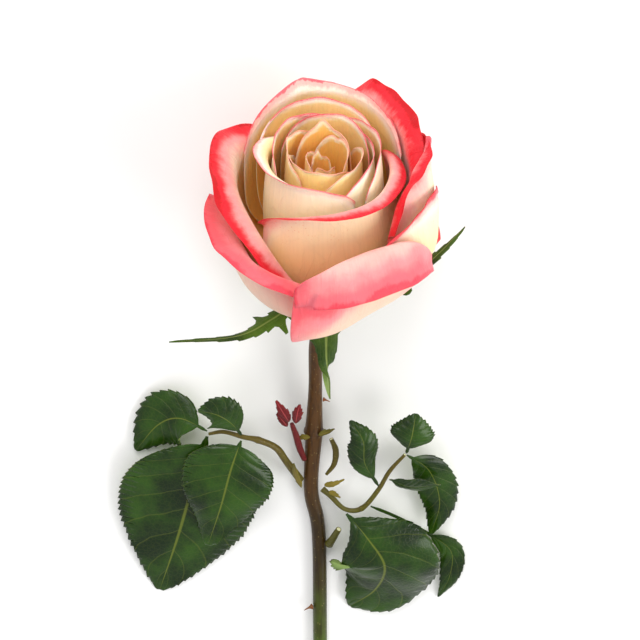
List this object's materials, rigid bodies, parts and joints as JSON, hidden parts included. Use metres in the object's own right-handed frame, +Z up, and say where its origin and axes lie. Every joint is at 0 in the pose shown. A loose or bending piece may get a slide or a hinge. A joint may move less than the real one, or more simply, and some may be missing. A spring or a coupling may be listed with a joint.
{
  "type": "cut rose",
  "caption": "Single cut rose lying down: bicolour cream and red bloom of separate petals, sepals, bent stem and toothed compound leaves; a decorative flower",
  "frame": {"origin": "middle of the bottom face of the bounding box, on the surface that the rose lies on", "axes": "+Y along the stem towards the bloom, +X to the right seen from above with the bloom away from the viewer, +Z up"},
  "size_m": [0.1312, 0.2942, 0.0895],
  "materials": {
    "petal_heart": "velvety orange petal",
    "petal_cup": "velvety cream petal with a pink rim",
    "petal_outer": "velvety cream petal with a broad red margin",
    "leaf_green": "glossy dark green leaf with a pale underside",
    "sepal_green": "satin pale green",
    "stem_bark": "smooth brown-green stem",
    "young_red": "glossy crimson young growth"
  },
  "bodies": {
    "root": {"bract_left": "leaf_green", "bract_right": "leaf_green", "broken_stalk": "stem_bark", "hip": "sepal_green", "hooked_bract": "stem_bark", "leaf_stalk_left": "stem_bark", "leaf_stalk_right": "stem_bark", "leaflet_left_back": "leaf_green", "leaflet_left_front": "leaf_green", "leaflet_left_terminal": "leaf_green", "leaflet_left_upper": "leaf_green", "leaflet_right_far": "leaf_green", "leaflet_right_inner": "leaf_green", "leaflet_right_long": "leaf_green", "leaflet_right_middle": "leaf_green", "leaflet_right_terminal": "leaf_green", "leaflet_right_upper": "leaf_green", "petal_01": "petal_heart", "petal_02": "petal_heart", "petal_03": "petal_heart", "petal_04": "petal_heart", "petal_05": "petal_heart", "petal_06": "petal_heart", "petal_07": "petal_heart", "petal_08": "petal_heart", "petal_09": "petal_cup", "petal_10": "petal_cup", "petal_11": "petal_cup", "petal_12": "petal_cup", "petal_13": "petal_cup", "petal_14": "petal_cup", "petal_15": "petal_outer", "petal_16": "petal_outer", "petal_17": "petal_outer", "petal_18": "petal_outer", "petal_19": "petal_outer", "petal_20": "petal_outer", "petal_21": "petal_outer", "petal_22": "petal_outer", "petal_23": "petal_outer", "petal_24": "petal_outer", "petal_25": "petal_outer", "petal_26": "petal_outer", "prickle_lower": "stem_bark", "prickle_tail": "stem_bark", "prickle_upper": "stem_bark", "sepal_back": "sepal_green", "sepal_front": "sepal_green", "sepal_left": "sepal_green", "sepal_right": "sepal_green", "sepal_under": "sepal_green", "shoot_leaf_1": "young_red", "shoot_leaf_2": "young_red", "shoot_leaf_3": "young_red", "stem": "stem_bark", "stipule_left": "leaf_green", "stipule_lower": "leaf_green", "stipule_upper": "leaf_green", "young_shoot": "young_red"}
  },
  "joints": []
}
